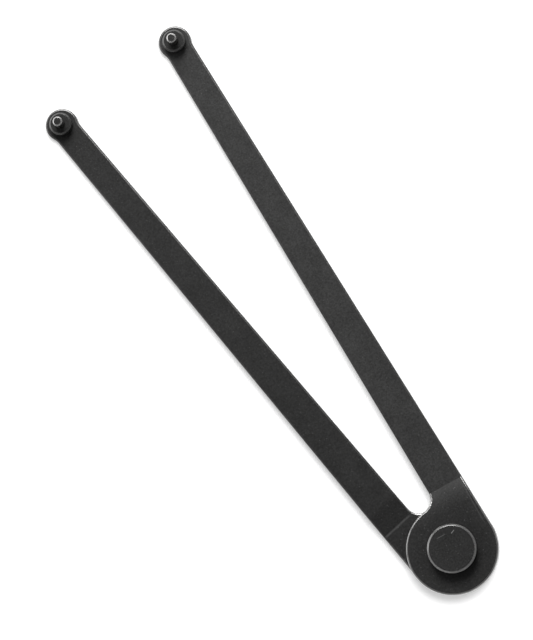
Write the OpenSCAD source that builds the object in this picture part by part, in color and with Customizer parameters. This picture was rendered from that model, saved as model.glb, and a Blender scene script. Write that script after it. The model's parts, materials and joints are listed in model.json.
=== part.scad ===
// Case back opener: an adjustable two-arm face spanner for two-hole and notched case backs.
// Two flat tapering arms turn on one shouldered rivet and each tip carries a stepped stud.
// Millimetres. Origin: on the pivot axis at the lowest face, +Z up, +Y midway between the arms.

/* [Arms] */
// Distance from the pivot centre to each stud centre
arm_len = 180; // [140:1:216]
// Thickness of the arm plate
plate_t = 3; // [2.4:0.1:4]
// Width of the arm at the pivot end
arm_root_w = 11.8; // [9:0.1:13.4]
// Width of the arm at the tip end
arm_tip_w = 9; // [7.4:0.1:9.6]
// Size of the broken edges of the arms
edge_break = 0.5; // [0.2:0.05:0.8]
// Angle between the two arms as drawn
rest_angle = 14; // [8:1:60]

/* [Pivot eye] */
// Diameter of the round eye at the pivot
pivot_eye_d = 28.2; // [24:0.1:33]
// Radius of the inside corner between the pivot eye and the arm
root_fillet_r = 4.4; // [3:0.1:6]
// Distance from the pivot to the start of the step in the lower arm
lower_step_y = 17; // [16.6:0.1:20]
// Distance from the pivot to the start of the step in the upper arm
upper_step_y = 15.5; // [15.2:0.1:20]
// Slope of the step that brings both arms into one plane, as height over length
step_slope = 0.5; // [0.4:0.05:0.8]

/* [Pivot rivet] */
// Diameter of the flat rivet head
head_d = 15; // [12:0.1:18]
// Height of the rivet head
head_h = 3.6; // [1.5:0.1:5]
// Diameter of the shoulder that the upper arm turns on
shoulder_d = 8; // [7.6:0.1:9]
// Diameter of the shank that is riveted into the lower arm
shank_d = 7; // [5:0.1:7.2]
// Diameter of the formed tail under the washer
tail_d = 10.4; // [9:0.1:11]
// Height of the formed tail
tail_h = 1; // [0.8:0.1:2]
// Outside diameter of the washer under the lower eye
washer_d = 13.4; // [12:0.1:18]
// Thickness of the washer
washer_t = 1; // [0.8:0.1:1.6]

/* [Tip studs] */
// Diameter of the round eye at each arm tip
tip_eye_d = 10.3; // [10.1:0.1:13]
// Radius of the inside corners between the tip eye and the arm
tip_fillet_r = 6; // [4:0.1:9]
// Diameter of the stud collar
collar_d = 7; // [5.6:0.1:8.4]
// Height of the stud collar
collar_h = 3; // [1.5:0.1:5]
// Diameter of the driving pin
pin_d = 3; // [1.6:0.1:4]
// Length of the driving pin above its collar
pin_len = 4.5; // [3:0.1:7]
// Diameter of the stud shank riveted into the tip eye
stud_shank_d = 5; // [3.6:0.1:5.2]

/* [Hidden] */
$fn = 96;

// Fits
running_clear = 0.05;     // radial play of the upper arm on the shoulder
axial_clear = 0.03;       // play on each side of the upper eye
cut_over = 1;             // how far cutting tools reach past a face
seat = 0.01;              // how far blended surfaces run into their neighbours
steel = [0.17, 0.17, 0.18];
worn = [0.24, 0.24, 0.25];

// Heights, from the tail upwards
washer_z = tail_h;
lower_eye_z = washer_z + washer_t;
upper_eye_z = lower_eye_z + plate_t + axial_clear;
head_z = upper_eye_z + plate_t + axial_clear;
step_rise = (plate_t + axial_clear) / 2;
step_len = step_rise / step_slope;
strip_z = lower_eye_z + step_rise;
strip_top_z = strip_z + plate_t;

// Pivot eye and arm edges
pivot_eye_r = pivot_eye_d / 2;
tip_eye_r = tip_eye_d / 2;
root_mid_x = pivot_eye_r - arm_root_w / 2;

// Rivet and stud details
head_break = 0.55;
tail_break = 0.4;
washer_break = 0.2;
collar_break = 0.5;
pin_break = 0.4;
stud_tail_h = 0.8;
stud_tail_d = stud_shank_d + 2 * stud_tail_h;

// Ends of the two straight sides of the arm
inner_root = [root_mid_x - arm_root_w / 2, 0];
inner_tip = [-arm_tip_w / 2, arm_len];
outer_tip = [arm_tip_w / 2, arm_len];

// The outer side runs on from the rim of the pivot eye without a corner
rim_r = pivot_eye_r - seat;
outer_turn = acos(rim_r / norm(outer_tip));
outer_dir = atan2(outer_tip[1], outer_tip[0]) - outer_turn;
outer_root = rim_r * [cos(outer_dir), sin(outer_dir)];

// Centre of an inside corner of radius r between an eye and the side from a to b
function unit(v) = v / norm(v);
function out_normal(a, b, out) = out * [unit(b - a)[1], -unit(b - a)[0]];
function corner_reach(eye, r_eye, a, b, out, r) =
    sqrt(pow(r_eye + r, 2) - pow(r - (eye - a) * out_normal(a, b, out), 2));
function corner_centre(eye, r_eye, a, b, out, r, way) =
    a + r * out_normal(a, b, out)
    + unit(b - a) * ((eye - a) * unit(b - a) + way * corner_reach(eye, r_eye, a, b, out, r));

// Round plate with both rims broken
module eye_disc(r) {
    rotate_extrude()
        polygon([
            [0, 0], [r - edge_break, 0], [r, edge_break], [r, plate_t - edge_break],
            [r - edge_break, plate_t], [0, plate_t]
        ]);
}

// Bar that breaks the straight edge from a to b; turn points its square face at the edge
module edge_bar(a, b, z, turn) {
    bar = 3 * edge_break;
    reach = norm(b - a) + 2 * cut_over;
    translate([a[0], a[1], z])
        rotate([0, 0, atan2(b[1] - a[1], b[0] - a[0])])
            rotate([turn, 0, 0])
                translate([-cut_over, -edge_break / sqrt(2), -bar / 2])
                    cube([reach, bar, bar]);
}

// Tapering strip between the two eyes
module strip() {
    difference() {
        linear_extrude(height = plate_t)
            polygon([[root_mid_x, 0], outer_root, outer_tip, inner_tip, inner_root]);
        edge_bar(outer_root, outer_tip, plate_t, 135);
        edge_bar(outer_root, outer_tip, 0, -135);
        edge_bar(inner_root, inner_tip, plate_t, 45);
        edge_bar(inner_root, inner_tip, 0, -45);
    }
}

// Filled inside corner between an eye and one side of the strip
module corner_fill(eye, r_eye, a, b, out, r, way) {
    centre = corner_centre(eye, r_eye, a, b, out, r, way);
    cut_r = r + seat;
    foot = centre - cut_r * out_normal(a, b, out);
    inside = foot - 0.6 * arm_tip_w * out_normal(a, b, out);
    difference() {
        linear_extrude(height = plate_t)
            polygon(out * way > 0 ? [eye, inside, foot, centre] : [eye, centre, foot, inside]);
        translate([centre[0], centre[1], 0])
            rotate_extrude()
                polygon([
                    [0, -cut_over], [cut_r + edge_break + cut_over, -cut_over],
                    [cut_r, edge_break], [cut_r, plate_t - edge_break],
                    [cut_r + edge_break + cut_over, plate_t + cut_over], [0, plate_t + cut_over]
                ]);
    }
}

// Flat arm before it is stepped, pivot at the origin and tip at +Y, leaning outwards to +X
module flat_arm() {
    eye_disc(pivot_eye_r);
    strip();
    translate([0, arm_len, 0]) eye_disc(tip_eye_r);
    corner_fill([0, 0], pivot_eye_r, inner_root, inner_tip, -1, root_fillet_r, 1);
    corner_fill([0, arm_len], tip_eye_r, inner_root, inner_tip, -1, tip_fillet_r, -1);
    corner_fill([0, arm_len], tip_eye_r, outer_root, outer_tip, 1, tip_fillet_r, -1);
}

// The part of the flat arm between two distances from the pivot
module arm_slice(y0, y1) {
    span = 3 * pivot_eye_d;
    intersection() {
        flat_arm();
        translate([-span / 2, y0, -cut_over])
            cube([span, y1 - y0, plate_t + 2 * cut_over]);
    }
}

// Arm with its step: the strip lies "rise" above the pivot eye
module stepped_arm(step_y, rise) {
    slope = sign(rise) * step_slope;
    arm_slice(-pivot_eye_d, step_y);
    multmatrix([[1, 0, 0, 0], [0, 1, 0, 0], [0, slope, 1, -slope * step_y], [0, 0, 0, 1]])
        arm_slice(step_y, step_y + step_len);
    translate([0, 0, rise])
        arm_slice(step_y + step_len, arm_len + tip_eye_d);
}

// Hole in a tip eye, countersunk below for the riveted end of the stud
module stud_hole() {
    translate([0, arm_len, strip_z]) {
        translate([0, 0, -cut_over])
            cylinder(h = plate_t + 2 * cut_over, d = stud_shank_d);
        cylinder(h = stud_tail_h, d1 = stud_tail_d, d2 = stud_shank_d);
    }
}

// Stepped stud: riveted shank, collar and driving pin in one turned piece
module stud() {
    rotate_extrude()
        polygon([
            [0, strip_z],
            [stud_tail_d / 2, strip_z],
            [stud_shank_d / 2, strip_z + stud_tail_h],
            [stud_shank_d / 2, strip_top_z],
            [collar_d / 2, strip_top_z],
            [collar_d / 2, strip_top_z + collar_h - collar_break],
            [collar_d / 2 - collar_break, strip_top_z + collar_h],
            [pin_d / 2, strip_top_z + collar_h],
            [pin_d / 2, strip_top_z + collar_h + pin_len - pin_break],
            [pin_d / 2 - pin_break, strip_top_z + collar_h + pin_len],
            [0, strip_top_z + collar_h + pin_len]
        ]);
}

// Lower arm, riveted fast on the shank
module lower_arm() {
    color(steel)
    rotate([0, 0, rest_angle / 2])
    difference() {
        translate([0, 0, lower_eye_z])
            mirror([1, 0, 0]) stepped_arm(lower_step_y, step_rise);
        translate([0, 0, lower_eye_z - cut_over])
            cylinder(h = plate_t + 2 * cut_over, d = shank_d);
        stud_hole();
    }
}

// Upper arm, free to turn on the rivet shoulder
module upper_arm() {
    color(steel)
    rotate([0, 0, -rest_angle / 2])
    difference() {
        translate([0, 0, upper_eye_z])
            stepped_arm(upper_step_y, -step_rise);
        translate([0, 0, upper_eye_z - cut_over])
            cylinder(h = plate_t + 2 * cut_over, d = shoulder_d + 2 * running_clear);
        stud_hole();
    }
}

// Shouldered rivet with a wide flat head above and a formed tail below
module pivot_rivet() {
    shoulder_z = lower_eye_z + plate_t;
    top_z = head_z + head_h;
    color(worn)
    rotate_extrude()
        polygon([
            [0, 0],
            [tail_d / 2 - tail_break, 0],
            [tail_d / 2, tail_break],
            [tail_d / 2, tail_h],
            [shank_d / 2, tail_h],
            [shank_d / 2, shoulder_z],
            [shoulder_d / 2, shoulder_z],
            [shoulder_d / 2, head_z],
            [head_d / 2, head_z],
            [head_d / 2, top_z - head_break],
            [head_d / 2 - head_break, top_z],
            [0, top_z]
        ]);
}

// Washer that the tail is formed against
module rivet_washer() {
    r = washer_d / 2;
    color(worn)
    translate([0, 0, washer_z])
    rotate_extrude()
        polygon([
            [shank_d / 2, 0], [r - washer_break, 0], [r, washer_break],
            [r, washer_t], [shank_d / 2, washer_t]
        ]);
}

module lower_stud() {
    color(worn)
    rotate([0, 0, rest_angle / 2])
        translate([0, arm_len, 0]) stud();
}

module upper_stud() {
    color(worn)
    rotate([0, 0, -rest_angle / 2])
        translate([0, arm_len, 0]) stud();
}

lower_arm();
upper_arm();
pivot_rivet();
rivet_washer();
lower_stud();
upper_stud();
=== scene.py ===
# %% [markdown]
# Adjustable case back opener in black-oxide steel. Two flat arms are cut as one blank each,
# stepped beside the pivot, and joined by a wide flat rivet. Each tip carries a turned stud.
# The plan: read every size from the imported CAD, rebuild each piece with softer, truer edges,
# then give the steel its dark oxide skin and its worn bright edges.

# %% Start from the fixed frame
import json
import math

import bmesh
import bpy
from mathutils import Matrix, Vector


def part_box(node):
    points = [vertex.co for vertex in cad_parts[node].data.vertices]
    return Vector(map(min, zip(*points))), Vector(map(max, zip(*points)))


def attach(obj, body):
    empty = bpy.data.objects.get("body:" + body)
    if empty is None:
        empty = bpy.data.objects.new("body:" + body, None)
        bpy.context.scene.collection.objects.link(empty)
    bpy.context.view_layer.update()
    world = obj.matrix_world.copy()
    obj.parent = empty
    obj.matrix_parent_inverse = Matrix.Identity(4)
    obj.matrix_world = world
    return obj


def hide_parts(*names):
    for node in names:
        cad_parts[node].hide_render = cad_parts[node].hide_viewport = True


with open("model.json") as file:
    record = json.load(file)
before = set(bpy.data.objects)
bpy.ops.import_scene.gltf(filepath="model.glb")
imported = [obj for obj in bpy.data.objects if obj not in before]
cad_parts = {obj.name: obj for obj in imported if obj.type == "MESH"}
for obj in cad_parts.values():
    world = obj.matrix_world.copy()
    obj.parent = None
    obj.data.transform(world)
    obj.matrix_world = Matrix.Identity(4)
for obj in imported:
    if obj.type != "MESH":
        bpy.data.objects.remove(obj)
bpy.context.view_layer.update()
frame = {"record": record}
MM = 0.001

# %% [markdown]
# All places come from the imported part. The two driving pins are mounts, so they give the arm
# length and the opening angle. The boxes of the nodes give the heights of plates and heads.

# %% Sizes read from the CAD
mounts = {m["name"]: m for m in frame["record"]["mounts"]}
tip = Vector(mounts["upper_pin"]["pos_m"])
pin_r = mounts["upper_pin"]["dims"]["r_mm"] * MM
arm_len = math.hypot(tip.x, tip.y)
half_open = math.atan2(tip.x, tip.y)

lower_lo, lower_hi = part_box("lower_arm")
upper_lo, upper_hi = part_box("upper_arm")
rivet_lo, rivet_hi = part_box("pivot_rivet")
washer_lo, washer_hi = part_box("rivet_washer")
stud_lo, stud_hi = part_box("upper_stud")

strip_low = stud_lo.z
plate_t = lower_hi.z - strip_low
step_rise = strip_low - lower_lo.z
strip_mid = strip_low + plate_t / 2
eye_r = -lower_lo.y + 0.003 * MM
tip_r = 5.15 * MM
head_r = rivet_hi.x
head_low = upper_hi.z + 0.03 * MM
shoulder_r, shank_r, tail_r = 4.0 * MM, 3.5 * MM, 5.2 * MM
collar_r = (stud_hi.x - stud_lo.x) / 2
collar_top = strip_low + plate_t + 3.0 * MM
stud_shank_r, stud_tail_r = 2.5 * MM, 3.3 * MM
print("arm", round(arm_len / MM, 2), "half angle", round(math.degrees(half_open), 2))
print("plate", round(plate_t / MM, 2), "rise", round(step_rise / MM, 3))

# %% [markdown]
# Small helpers. An arc is one vertex spun about a centre; a turned piece is a profile spun a
# full turn about its axis. Both are the ways that a lathe and a form cutter make such shapes.


# %% Helpers
def turned(name, profile, steps=96):
    """Spins a profile of (radius, height) points about the Z axis into a closed solid."""
    bm = bmesh.new()
    first = None
    last = None
    for r, z in profile:
        v = bmesh.ops.create_vert(bm, co=(r, 0, z))["vert"][0]
        if last:
            bm.edges.new((last, v))
        first, last = first or v, v
    if profile[0][0] > 0:
        bm.edges.new((last, first))
    bmesh.ops.spin(
        bm, geom=bm.verts[:] + bm.edges[:], cent=(0, 0, 0), axis=(0, 0, 1),
        angle=2 * math.pi, steps=steps, use_merge=True,
    )
    bmesh.ops.remove_doubles(bm, verts=bm.verts[:], dist=1e-7)
    bmesh.ops.dissolve_degenerate(bm, edges=bm.edges[:], dist=1e-8)
    bmesh.ops.recalc_face_normals(bm, faces=bm.faces[:])
    return to_object(bm, name)


def to_object(bm, name):
    """Turns a bmesh into a shown piece with smooth faces and sharp corners above 40 degrees."""
    for f in bm.faces:
        f.smooth = True
    mesh = bpy.data.meshes.new(name)
    bm.to_mesh(mesh)
    bm.free()
    mesh.set_sharp_from_angle(angle=math.radians(40))
    piece = bpy.data.objects.new(name, mesh)
    bpy.context.collection.objects.link(piece)
    return piece


def soften(piece, width, segments=3, limit=35, finish=1):
    """Breaks the sharp edges; finish 1 gives them the piece's second material, -1 leaves it."""
    mod = piece.modifiers.new("Edge break", "BEVEL")
    mod.width = width
    mod.segments = segments
    mod.limit_method = "ANGLE"
    mod.angle_limit = math.radians(limit)
    mod.harden_normals = True
    mod.material = finish
    mod.use_clamp_overlap = False
    mod.loop_slide = False
    return mod


def place(piece, matrix):
    """Moves the mesh itself, so that the object's own transform stays at rest."""
    piece.data.transform(matrix)


# %% [markdown]
# The arm blank. Its outline is a round pivot eye, two long sides that swell very slightly, and
# a small tip eye that runs into the sides through inside corners. The outer side is tangent to
# the pivot eye, so the arm leans outwards and its axis still ends in the centre of the stud.
# The outline is drawn once, filled around its two holes, and thickened.

# %% Outline of the blank
root_w, tip_w, swell = 11.45 * MM, 8.7 * MM, 0.33 * MM
root_corner_r, tip_corner_r = 4.4 * MM, 6.0 * MM
root_mid = eye_r - root_w / 2


def side_point(out, y, bulge=True):
    """A point on the outer (+1) or inner (-1) side of the blank at a distance y."""
    s = y / arm_len
    half = (root_w + (tip_w - root_w) * s) / 2
    if bulge:
        half += swell * (1 - (2 * s - 1) ** 2)
    return Vector((root_mid * (1 - s) + out * half, y, 0))


def corner(eye, r_eye, out, r, way, near):
    """Centre, foot on the side and foot on the eye of an inside corner of radius r."""
    a, b = side_point(out, near - 2 * MM), side_point(out, near + 2 * MM)
    along = (b - a).normalized()
    normal = Vector((along.y, -along.x, 0)) * out
    gap = r - (eye - a).dot(normal)
    reach = math.sqrt((r_eye + r) ** 2 - gap**2)
    centre = a + normal * r + along * ((eye - a).dot(along) + way * reach)
    return centre, centre - normal * r, eye + (centre - eye).normalized() * r_eye


pivot_eye = Vector((0, 0, 0))
tip_eye = Vector((0, arm_len, 0))
root_c, root_side, root_rim = corner(pivot_eye, eye_r, -1, root_corner_r, 1, 18.3 * MM)
tipi_c, tipi_side, tipi_rim = corner(tip_eye, tip_r, -1, tip_corner_r, -1, arm_len - 4 * MM)
tipo_c, tipo_side, tipo_rim = corner(tip_eye, tip_r, 1, tip_corner_r, -1, arm_len - 4 * MM)
lead = side_point(1, 3 * MM)
turn = math.acos(min(1.0, eye_r / lead.length))
outer_root = Matrix.Rotation(-turn, 3, "Z") @ lead.normalized() * eye_r


def arc(bm, centre, start, end, ccw):
    """Spins one vertex from start to end about centre."""
    a0 = math.atan2(start.y - centre.y, start.x - centre.x)
    a1 = math.atan2(end.y - centre.y, end.x - centre.x)
    sweep = (a1 - a0) % (2 * math.pi) if ccw else -((a0 - a1) % (2 * math.pi))
    steps = max(4, round(abs(math.degrees(sweep)) / 3))
    v = bmesh.ops.create_vert(bm, co=start)["vert"]
    bmesh.ops.spin(
        bm, geom=v, cent=centre, axis=(0, 0, 1), angle=sweep, steps=steps, use_merge=False
    )


def side_line(bm, out, start, end):
    """A straight edge cut into parts that are then moved out to the swelling side."""
    v = [bmesh.ops.create_vert(bm, co=p)["vert"][0] for p in (start, end)]
    cut = bmesh.ops.subdivide_edges(bm, edges=[bm.edges.new(v)], cuts=14)
    for g in cut["geom_inner"]:
        if isinstance(g, bmesh.types.BMVert):
            g.co.x = side_point(out, g.co.y).x


def blank():
    """The flat arm: outline, two holes, thickness."""
    bm = bmesh.new()
    arc(bm, pivot_eye, root_rim, outer_root, True)
    side_line(bm, 1, outer_root, tipo_side)
    arc(bm, tipo_c, tipo_side, tipo_rim, False)
    arc(bm, tip_eye, tipo_rim, tipi_rim, True)
    arc(bm, tipi_c, tipi_rim, tipi_side, False)
    side_line(bm, -1, tipi_side, root_side)
    arc(bm, root_c, root_side, root_rim, False)
    bmesh.ops.remove_doubles(bm, verts=bm.verts[:], dist=1e-6)
    for centre, r in ((pivot_eye, shoulder_r + 0.05 * MM), (tip_eye, stud_shank_r)):
        bmesh.ops.create_circle(
            bm, cap_ends=False, radius=r, segments=64, matrix=Matrix.Translation(centre)
        )
    bmesh.ops.triangle_fill(bm, use_beauty=True, edges=bm.edges[:])
    bmesh.ops.dissolve_limit(
        bm, angle_limit=math.radians(1), verts=bm.verts[:], edges=bm.edges[:],
        use_dissolve_boundaries=False,
    )
    for f in bm.faces:
        if f.normal.z < 0:
            f.normal_flip()
    bmesh.ops.translate(bm, verts=bm.verts[:], vec=(0, 0, -plate_t / 2))
    grown = bmesh.ops.extrude_face_region(bm, geom=bm.faces[:])
    top = [g for g in grown["geom"] if isinstance(g, bmesh.types.BMVert)]
    bmesh.ops.translate(bm, verts=top, vec=(0, 0, plate_t))
    bmesh.ops.recalc_face_normals(bm, faces=bm.faces[:])
    return bm


print("root corner", [round(v / MM, 2) for v in root_side], "rim", [round(v / MM, 2) for v in root_rim])

# %% [markdown]
# The step. A press pushes the pivot eye out of the plane of the strip by half the plate. Its
# edge leaves one crisp inside corner across the top of the arm, and the other end of the short
# slope is a soft curve. The blank is cut across many times in the step, and each point is then
# moved up or down by its distance along that slope.


# %% Step one arm
def climb(t, soft):
    """Share of the step that is climbed at t: curved over the share soft, then straight to 1."""
    if t < soft:
        return t * t / soft / (2 - soft)
    return (2 * t - soft) / (2 - soft)


def step_arm(bm, corner_y, length, soft, under_start, rise):
    """rise > 0 lowers the strip after a curve; rise < 0 lifts it from the crisp corner on."""
    first = corner_y - length if rise > 0 else corner_y
    cuts = [first + length * k / 16 for k in range(17)] + [corner_y - 0.1 * MM, corner_y + 0.1 * MM]
    for y in cuts:
        bmesh.ops.bisect_plane(
            bm, geom=bm.verts[:] + bm.edges[:] + bm.faces[:], dist=1e-7,
            plane_co=(0, y, 0), plane_no=(0, 1, 0),
        )
    for v in bm.verts:
        start = first if v.co.z > 0 else max(first, under_start)
        t = min(1.0, max(0.0, (v.co.y - start) / (first + length - start)))
        v.co.z += rise * (1 - climb(t, soft) if rise > 0 else climb(1 - t, soft))
    bmesh.ops.recalc_face_normals(bm, faces=bm.faces[:])


def arm(name, out, corner_y, soft, under_start, rise):
    bm = blank()
    step_arm(bm, corner_y, 8.0 * MM, soft, under_start, rise)
    if out < 0:
        bmesh.ops.scale(bm, vec=(-1, 1, 1), verts=bm.verts[:])
        bmesh.ops.reverse_faces(bm, faces=bm.faces[:])
    bmesh.ops.recalc_face_normals(bm, faces=bm.faces[:])
    turn_arm = Matrix.Rotation(-out * half_open, 3, "Z")
    bmesh.ops.rotate(bm, cent=(0, 0, 0), matrix=turn_arm, verts=bm.verts[:])
    bmesh.ops.translate(bm, verts=bm.verts[:], vec=(0, 0, strip_mid))
    piece = to_object(bm, name)
    soften(piece, 0.55 * MM)
    print(name, len(piece.data.vertices), "vertices before softening")
    return piece


upper = arm("upper_arm_plate", 1, 18.0 * MM, 1.0, 15.6 * MM, step_rise)
lower = arm("lower_arm_plate", -1, 16.8 * MM, 0.3, 0.0, -step_rise)

# %% [markdown]
# The rivet: a wide flat head, a shoulder that the upper arm turns on, the shank that is
# clamped in the lower arm, and the tail that was formed over the washer.

# %% Rivet and washer
shoulder_z = upper_lo.z + (lower_hi.z - upper_lo.z)
rivet = turned(
    "rivet_turned",
    [
        (0, 0), (tail_r - 0.4 * MM, 0), (tail_r, 0.4 * MM), (tail_r, washer_lo.z),
        (shank_r, washer_lo.z), (shank_r, washer_hi.z + plate_t),
        (shoulder_r, washer_hi.z + plate_t), (shoulder_r, head_low),
        (head_r, head_low), (head_r, rivet_hi.z - 0.55 * MM),
        (head_r - 0.55 * MM, rivet_hi.z), (0, rivet_hi.z),
    ],
    steps=128,
)
soften(rivet, 0.1 * MM, 2, 30)
washer = turned(
    "washer_turned",
    [
        (shank_r, washer_lo.z), (washer_hi.x - 0.2 * MM, washer_lo.z),
        (washer_hi.x, washer_lo.z + 0.2 * MM), (washer_hi.x, washer_hi.z),
        (shank_r, washer_hi.z),
    ],
)
print("rivet head radius", round(head_r / MM, 2), "top", round(rivet_hi.z / MM, 2))

# %% [markdown]
# The studs are turned in one piece: a collar that bears on the arm, the thinner driving pin on
# top, and a shank whose end is spread into a countersink underneath.


# %% Studs
def stud(name, out):
    piece = turned(
        name,
        [
            (0, strip_low), (stud_tail_r, strip_low), (stud_shank_r, strip_low + 0.8 * MM),
            (stud_shank_r, strip_low + plate_t), (collar_r, strip_low + plate_t),
            (collar_r, collar_top - 0.5 * MM), (collar_r - 0.5 * MM, collar_top),
            (pin_r, collar_top), (pin_r, stud_hi.z - 0.4 * MM),
            (pin_r - 0.4 * MM, stud_hi.z), (0, stud_hi.z),
        ],
        steps=64,
    )
    place(piece, Matrix.Translation((out * tip.x, tip.y, 0)))
    soften(piece, 0.07 * MM, 2, 30, finish=-1)
    return piece


upper_stud = stud("upper_stud_turned", 1)
lower_stud = stud("lower_stud_turned", -1)
print("stud top", round(stud_hi.z / MM, 2), "collar top", round(collar_top / MM, 2))

# %% [markdown]
# Each new piece moves with its CAD body and stands for its CAD node, which is hidden.

# %% Hand the pieces to the frame
for piece, body, node, slot in (
    (upper, "upper", "upper_arm", "arm_steel"),
    (lower, "lower", "lower_arm", "arm_steel"),
    (rivet, "lower", "pivot_rivet", "rivet_steel"),
    (washer, "lower", "rivet_washer", "rivet_steel"),
    (upper_stud, "upper", "upper_stud", "stud_steel"),
    (lower_stud, "lower", "lower_stud", "stud_steel"),
):
    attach(piece, body)
    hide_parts(node)

# %% [markdown]
# Black oxide is a thin dark skin on steel. It is nearly flat black with a satin sheen, and shows
# a fine mottle, a little dust and tiny bright specks where grains of steel come through. It is
# made with noise in object space, so the pattern has a real size on the steel.


# %% Node helpers
def add(mat, kind, **values):
    """Adds a node; in_ names set its inputs and other names its settings."""
    node = mat.node_tree.nodes.new(kind)
    for key, value in values.items():
        if key.startswith("in_"):
            node.inputs[key[3:].replace("_", " ")].default_value = value
        else:
            setattr(node, key, value)
    return node


def feed(mat, socket, value):
    """Links a socket to a value, or sets it where the value is a number or a colour."""
    if isinstance(value, tuple):
        socket.default_value = (*value, 1)
    elif isinstance(value, (int, float)):
        socket.default_value = value
    else:
        mat.node_tree.links.new(value, socket)


def noise(mat, where, scale, detail, rough=0.5):
    n = add(mat, "ShaderNodeTexNoise", in_Scale=scale, in_Detail=detail, in_Roughness=rough)
    feed(mat, n.inputs["Vector"], where)
    return n.outputs["Fac"]


def ramp(mat, fac, stops):
    n = add(mat, "ShaderNodeValToRGB")
    while len(n.color_ramp.elements) < len(stops):
        n.color_ramp.elements.new(0.5)
    for e, (pos, val) in zip(n.color_ramp.elements, stops):
        e.position = pos
        e.color = (*val, 1) if isinstance(val, tuple) else (val, val, val, 1)
    feed(mat, n.inputs["Fac"], fac)
    return n.outputs["Color"]


def calc(mat, operation, a, b=0.0, clamp=False):
    n = add(mat, "ShaderNodeMath", operation=operation, use_clamp=clamp)
    feed(mat, n.inputs[0], a)
    feed(mat, n.inputs[1], b)
    return n.outputs[0]


def mix_color(mat, fac, a, b, blend="MIX"):
    n = add(mat, "ShaderNodeMix", data_type="RGBA", blend_type=blend)
    for i, val in ((0, fac), (6, a), (7, b)):
        feed(mat, n.inputs[i], val)
    return n.outputs[2]


# %% [markdown]
# Marks are thin straight lines: the rivet head has two small scratches, and a lighter line runs across the
# lower arm at its step. The lighter line along the outer side of the upper arm's eye is a painted highlight of
# a ledge edge that the blank doesn't have. A Mapping node lays a unit square over the line, and the mark is
# strongest in the middle of that square and fades out at its borders.


# %% A straight mark
def mark(mat, where, start, end, width, strength):
    """Mask of a straight mark between two points, in the object's own coordinates."""
    mid = (start + end) / 2
    run = end - start
    square = add(mat, "ShaderNodeMapping", vector_type="TEXTURE")
    square.inputs["Location"].default_value = (mid.x, mid.y, 0)
    square.inputs["Rotation"].default_value = (0, 0, math.atan2(run.y, run.x))
    square.inputs["Scale"].default_value = (run.length / 2, width / 2, 1)
    feed(mat, square.inputs["Vector"], where)
    parts = add(mat, "ShaderNodeSeparateXYZ")
    feed(mat, parts.inputs[0], square.outputs[0])
    along = calc(mat, "SUBTRACT", 1.0, calc(mat, "ABSOLUTE", parts.outputs[0]))
    across = calc(mat, "SUBTRACT", 1.0, calc(mat, "ABSOLUTE", parts.outputs[1]))
    fade = calc(mat, "MULTIPLY", along, 4.0, clamp=True)
    body = calc(mat, "MULTIPLY", across, 1.5, clamp=True)
    return calc(mat, "MULTIPLY", calc(mat, "MULTIPLY", fade, body), strength)


# %% [markdown]
# One recipe makes every finish. The oxide is a dark coat, so a finish without wear isn't metallic; where it is
# worn through, bare steel is mixed in by a soft noise mask, and a finish with any wear is metallic all over.


# %% Oxide finish
STEEL = (0.56, 0.555, 0.55)


def oxide(name, tone, rough, worn=0.0, worn_far=1.0, marks=(), sheen=0.1, pivot_shade=1.0):
    """Dark oxide on steel; worn is how far it is rubbed towards bare, metallic steel.

    worn_far scales that wear far from the pivot, and the last argument darkens the tone close to the pivot as
    painted shade around the rivet head.
    """
    mat = bpy.data.materials.new(name)
    mat.use_nodes = True
    shader = mat.node_tree.nodes["Principled BSDF"]
    where = add(mat, "ShaderNodeTexCoord").outputs["Object"]
    fine = noise(mat, where, 1900.0, 4.0, 0.6)
    broad = noise(mat, where, 150.0, 3.0)
    specks = noise(mat, where, 2300.0, 1.0)
    # Distance from the pivot. Close to it the last argument darkens the tone: painted shade around the rivet
    # head.
    pivot_distance = add(mat, "ShaderNodeVectorMath", operation="LENGTH")
    feed(mat, pivot_distance.inputs[0], where)
    pivot_shade_tone = ramp(mat, calc(mat, "MULTIPLY", pivot_distance.outputs["Value"], 20.0), [(0.28, pivot_shade), (0.44, 1.0)])
    dark = tuple(tone * k for k in (0.66, 0.65, 0.64))
    light = tuple(tone * k for k in (1.34, 1.34, 1.33))
    colour = ramp(mat, fine, [(0.3, dark), (0.7, light)])
    colour = mix_color(mat, 1.0, colour, ramp(mat, broad, [(0.3, 0.88), (0.7, 1.12)]), "MULTIPLY")
    colour = mix_color(mat, 1.0, colour, pivot_shade_tone, "MULTIPLY")
    colour = mix_color(mat, ramp(mat, specks, [(0.70, 0.0), (0.77, 0.30)]), colour, (0.2, 0.2, 0.2))
    roughness = ramp(mat, fine, [(0.3, rough - 0.05), (0.7, rough + 0.05)])
    # Each mark mixes the colour towards light grey; the upper arm's line is a painted highlight.
    for start, end, width, strength in marks:
        line = mark(mat, where, start, end, width, strength)
        colour = mix_color(mat, line, colour, (0.5, 0.5, 0.5))
    if worn > 0:
        patch = noise(mat, where, 260.0, 3.0, 0.55)
        bare = ramp(mat, patch, [(0.3, worn * 0.7), (0.7, min(1.0, worn * 1.3))])
        if worn_far < 1:
            reach = calc(mat, "MULTIPLY", pivot_distance.outputs["Value"], 10.0)
            near = ramp(mat, reach, [(0.16, 1.0), (0.20, worn_far)])
            bare = calc(mat, "MULTIPLY", bare, near)
        colour = mix_color(mat, bare, colour, STEEL)
        shader.inputs["Metallic"].default_value = 1.0
    feed(mat, shader.inputs["Base Color"], colour)
    feed(mat, shader.inputs["Roughness"], roughness)
    shader.inputs["Specular IOR Level"].default_value = sheen
    bump = add(mat, "ShaderNodeBump", in_Strength=0.2, in_Distance=0.02 * MM)
    feed(mat, bump.inputs["Height"], fine)
    feed(mat, shader.inputs["Normal"], bump.outputs["Normal"])
    return mat


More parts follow.
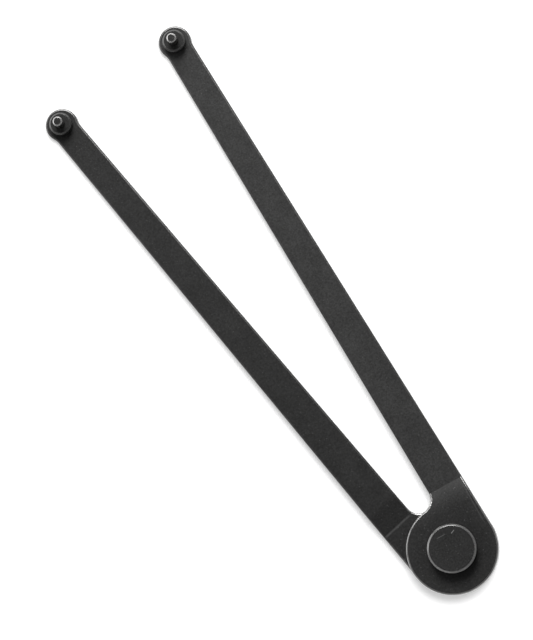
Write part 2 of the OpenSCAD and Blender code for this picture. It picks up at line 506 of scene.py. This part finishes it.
def on_arm(out, x, y):
    """A point in the arm's own frame, turned to where the arm lies."""
    turned_point = Matrix.Rotation(-out * half_open, 3, "Z") @ Vector((out * x, y, 0))
    return turned_point


# A lighter line along the outer side of the upper arm's eye: a painted highlight of a ledge edge that the
# blank doesn't have.
upper_painted_highlight = [
    (on_arm(1, 12.2 * MM, 17.5 * MM), on_arm(1, 12.4 * MM, 1.5 * MM), 0.4 * MM, 0.05),
]
lower_marks = [
    (on_arm(-1, 2 * MM, 16.4 * MM), on_arm(-1, 14.5 * MM, 16.4 * MM), 0.9 * MM, 0.06),
]
head_marks = [
    (Vector((-2.1, 5.0, 0)) * MM, Vector((1.0, 4.6, 0)) * MM, 0.3 * MM, 0.12),
    (Vector((2.5, 3.7, 0)) * MM, Vector((3.9, 4.1, 0)) * MM, 0.26 * MM, 0.4),
]
# The upper arm's face is darkened close to the pivot: painted shade around the rivet head.
upper_face_with_painted_light = oxide("Upper arm oxide with painted light", 0.031, 0.5, marks=upper_painted_highlight, pivot_shade=0.68)
# The lower arm's face is the same oxide in a darker tone: the difference from the upper arm is painted shade.
lower_face_painted_darker = oxide("Lower arm oxide with painted shade", 0.0212, 0.5, marks=lower_marks)
arm_edge = oxide("Rubbed arm edge", 0.04, 0.33, worn=0.46, worn_far=0.3)
upper_side = oxide("Upper arm side", 0.04, 0.3, worn=0.1)
lower_side = oxide("Lower arm side", 0.05, 0.28, worn=0.16)
rivet_face = oxide("Rivet oxide", 0.0235, 0.45, marks=head_marks)
rivet_edge = oxide("Rubbed rivet edge", 0.06, 0.3, worn=0.25)
stud_face = oxide("Stud oxide", 0.02, 0.4)
stud_edge = oxide("Bare pin edge", 0.1, 0.24, worn=0.9)
collar_edge = oxide("Rubbed collar edge", 0.05, 0.3, worn=0.12)

for piece, finishes in (
    (upper, (upper_face_with_painted_light, arm_edge, upper_side)),
    (lower, (lower_face_painted_darker, arm_edge, lower_side)),
    (rivet, (rivet_face, rivet_edge)),
    (washer, (rivet_face, rivet_edge)),
    (upper_stud, (stud_face, stud_edge, collar_edge)),
    (lower_stud, (stud_face, stud_edge, collar_edge)),
):
    for finish in finishes:
        piece.data.materials.append(finish)

# %% [markdown]
# The cut sides of the arms are rubbed brighter than their faces. The chamfers of the rivet head
# and of the pin ends are part of their profiles, so their faces are given the worn finish by
# the way that they lean. The collar's chamfer is rubbed less than the pin's.

# %% Finishes by the way that a face leans
for arm_piece in (upper, lower):
    for f in arm_piece.data.polygons:
        if abs(f.normal.z) < 0.3:
            f.material_index = 2
for piece, lowest in ((rivet, head_low), (upper_stud, strip_mid), (lower_stud, strip_mid)):
    count = 0
    for f in piece.data.polygons:
        if 0.3 < f.normal.z < 0.95 and f.center.z > lowest:
            f.material_index = 2 if piece is not rivet and f.center.z < collar_top else 1
            count += 1
    print(piece.name, "worn faces", count)

# %% [markdown]
# A plain pale floor. The tool rests on the rivet's tail and on the undersides of its tips, so
# the floor leans by about one degree to touch both. A little glow for the rays that reach the
# camera, straight or by reflection, keeps it white, and the tool's shadow still falls on it.

# %% Floor
bm = bmesh.new()
bmesh.ops.create_grid(bm, x_segments=1, y_segments=1, size=3.0)
lean = math.atan2(strip_low, arm_len)
bmesh.ops.rotate(bm, cent=(0, 0, 0), matrix=Matrix.Rotation(lean, 3, "X"), verts=bm.verts[:])
bmesh.ops.translate(bm, verts=bm.verts[:], vec=(0, 0, -0.02 * MM))
floor = to_object(bm, "floor")
white = bpy.data.materials.new("Floor white")
white.use_nodes = True
paint = white.node_tree.nodes["Principled BSDF"]
paint.inputs["Base Color"].default_value = (0.86, 0.86, 0.86, 1)
paint.inputs["Roughness"].default_value = 0.9
paint.inputs["Specular IOR Level"].default_value = 0.0
paint.inputs["Emission Color"].default_value = (1, 1, 1, 1)
path = add(white, "ShaderNodeLightPath").outputs
straight = calc(white, "MULTIPLY", path["Is Camera Ray"], 0.4)
mirrored = calc(white, "MAXIMUM", path["Is Glossy Ray"], path["Is Transmission Ray"])
mirrored = calc(white, "MULTIPLY", mirrored, 0.6)
feed(white, paint.inputs["Emission Strength"], calc(white, "MAXIMUM", straight, mirrored))
floor.data.materials.append(white)

# %% [markdown]
# The camera looks down from a little below the pivot end, as a hand-held camera over a table.

# %% Camera
camera = bpy.data.objects.new("camera", bpy.data.cameras.new("camera"))
bpy.context.collection.objects.link(camera)
target = Vector((-5.42, 90.57, 6.0)) * MM
back = Vector((0.04, -0.1501, 1.0)).normalized()
roll = math.radians(35.5)
side = Vector((math.sin(roll), math.cos(roll), 0)).cross(back).normalized()
above = back.cross(side)
distance = 0.9
place_at = target + back * distance
camera.matrix_world = Matrix.Translation(place_at) @ Matrix((side, above, back)).transposed().to_4x4()
camera.data.sensor_width = 36
camera.data.lens = 163.9
bpy.context.scene.camera = camera

# %% [markdown]
# Light. A broad soft window at the top of the picture, 44 degrees up, gives the faces their grey. The room is
# a dim even grey, so edges that face away from the camera's side stay dark while the others mirror the bright
# table. A low card on the left lights the edges that face it, and a lamp from the upper right draws the faint
# shadow.


# %% Lights
def lamp(name, image_dir, elevation, far, size, power):
    """An area light; image_dir is its direction in the picture, as degrees from image-right."""
    a = math.radians(image_dir)
    flat = side * math.cos(a) + above * math.sin(a)
    flat.z = 0
    flat.normalize()
    e = math.radians(elevation)
    where = target + (flat * math.cos(e) + Vector((0, 0, 1)) * math.sin(e)) * far
    data = bpy.data.lights.new(name, "AREA")
    data.shape = "DISK"
    data.size = size
    data.energy = power
    o = bpy.data.objects.new(name, data)
    bpy.context.collection.objects.link(o)
    o.matrix_world = Matrix.Translation(where) @ (target - where).to_track_quat("-Z", "Y").to_matrix().to_4x4()
    return o


window = lamp("Window", 101, 44, 1.0, 0.6, 13.6)
card = lamp("Left card", 165, 12, 0.9, 0.8, 3.5)
floor_light = lamp("Floor light", 60, 72, 1.2, 0.6, 12.5)

# %% [markdown]
# The tool and the floor are lit apart, as with flags in a studio: the window shapes the tool,
# and a lamp of its own keeps the floor white and draws the faint shadow along its lower left.

# %% Light each one apart
for lights, name, members in (
    ((window, card), "lit by the window", (upper, lower, rivet, washer, upper_stud, lower_stud)),
    ((floor_light,), "lit by the floor light", (floor,)),
):
    group = bpy.data.collections.new(name)
    for member in members:
        group.objects.link(member)
    for light in lights:
        light.light_linking.receiver_collection = group
    print(name, [m.name for m in members])

# %% The room
world = bpy.data.worlds.new("Room")
world.use_nodes = True
bpy.context.scene.world = world
room = world.node_tree.nodes["Background"]
room.inputs["Color"].default_value = (1, 1, 1, 1)
room.inputs["Strength"].default_value = 0.3
bpy.context.scene.view_settings.view_transform = "Standard"
